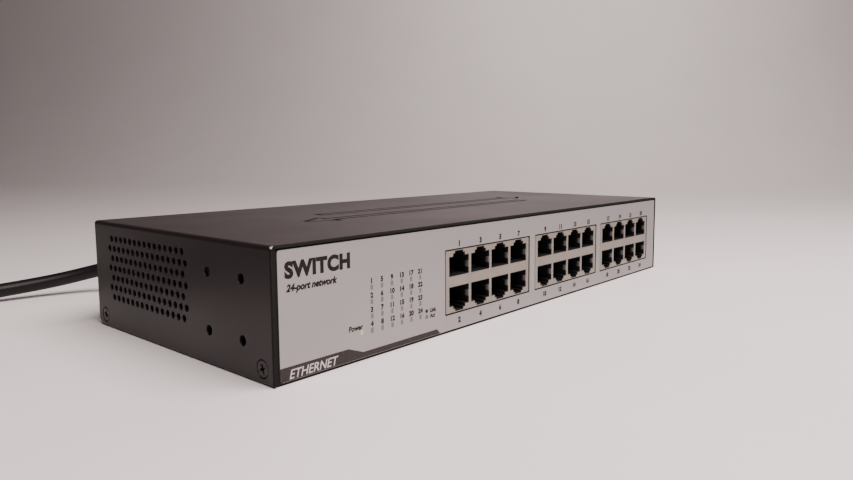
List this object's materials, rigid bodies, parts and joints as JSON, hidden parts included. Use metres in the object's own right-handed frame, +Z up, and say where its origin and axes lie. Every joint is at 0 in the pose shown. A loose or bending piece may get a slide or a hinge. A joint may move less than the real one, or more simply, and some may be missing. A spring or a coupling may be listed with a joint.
{
  "type": "desktop network switch",
  "caption": "Low wide sheet-steel network switch with rows of shielded sockets and indicator lights on its front, vented sides, rear mains inlet and a detachable coiled mains lead.",
  "frame": {"origin": "centre of the case's underside", "axes": "+X to the right seen from the front, +Y to the rear, +Z up"},
  "size_m": [0.4229, 0.2161, 0.044],
  "materials": {
    "black_paint": "satin black powder coat on sheet steel",
    "silver_print": "satin silver-grey printed overlay",
    "nickel": "dull nickel-plated sheet",
    "black_plastic": "moulded black plastic",
    "gold": "gold-plated spring wire",
    "board_green": "green solder mask",
    "chip_black": "moulded black epoxy",
    "aluminium": "plain",
    "steel": "plated steel",
    "screw_black": "black zinc, worn",
    "winding_tape": "yellow polyester tape",
    "sleeve_blue": "shrunk dark blue sleeve",
    "fuse_glass": "clear tube with plated caps",
    "clear_sheet": "clear polyester sheet",
    "lens": "diffusing light pipe",
    "wire_red": "insulated wire",
    "cord_black": "satin black flexible cord and mouldings",
    "tie_black": "hook-and-loop strap"
  },
  "bodies": {
    "case": {"base_chassis": "black_paint", "board_screw_1": "steel", "board_screw_2": "steel", "board_screw_3": "steel", "board_screw_4": "steel", "bulk_capacitor": "sleeve_blue", "cover_screw_1": "screw_black", "cover_screw_2": "screw_black", "cover_screw_3": "screw_black", "cover_screw_4": "screw_black", "dc_harness": "wire_red", "front_label": "silver_print", "fuse": "fuse_glass", "heat_sink": "aluminium", "inlet_body": "black_plastic", "inlet_pin_earth": "steel", "inlet_pin_live": "steel", "inlet_pin_neutral": "steel", "insulating_sheet": "clear_sheet", "led_stack_1": "lens", "led_stack_2": "lens", "led_stack_3": "lens", "led_stack_4": "lens", "led_stack_5": "lens", "led_stack_6": "lens", "line_filter_choke": "winding_tape", "magnetics_1": "chip_black", "magnetics_2": "chip_black", "magnetics_3": "chip_black", "main_board": "board_green", "output_capacitor": "sleeve_blue", "port_contacts_1": "gold", "port_contacts_2": "gold", "port_contacts_3": "gold", "port_housing_1": "black_plastic", "port_housing_2": "black_plastic", "port_housing_3": "black_plastic", "port_insert_1": "black_plastic", "port_insert_2": "black_plastic", "port_insert_3": "black_plastic", "port_shield_1": "nickel", "port_shield_2": "nickel", "port_shield_3": "nickel", "power_board": "board_green", "power_board_screw_1": "steel", "power_board_screw_2": "steel", "power_heat_sink": "aluminium", "power_led": "lens", "switch_chip": "chip_black", "top_cover": "black_paint", "transformer": "winding_tape"},
    "power_lead": {"lead_connector": "cord_black", "lead_cord": "cord_black", "lead_coil": "cord_black", "coil_tie": "tie_black", "lead_tail": "cord_black", "plug_body": "cord_black", "plug_blade_live": "steel", "plug_blade_neutral": "steel", "plug_earth_pin": "steel"}
  },
  "joints": [
    {"name": "lead_unplug", "type": "slide", "parent": "case", "child": "power_lead", "axis": [0, 1, 0], "range_m": [0, 0.02]}
  ]
}
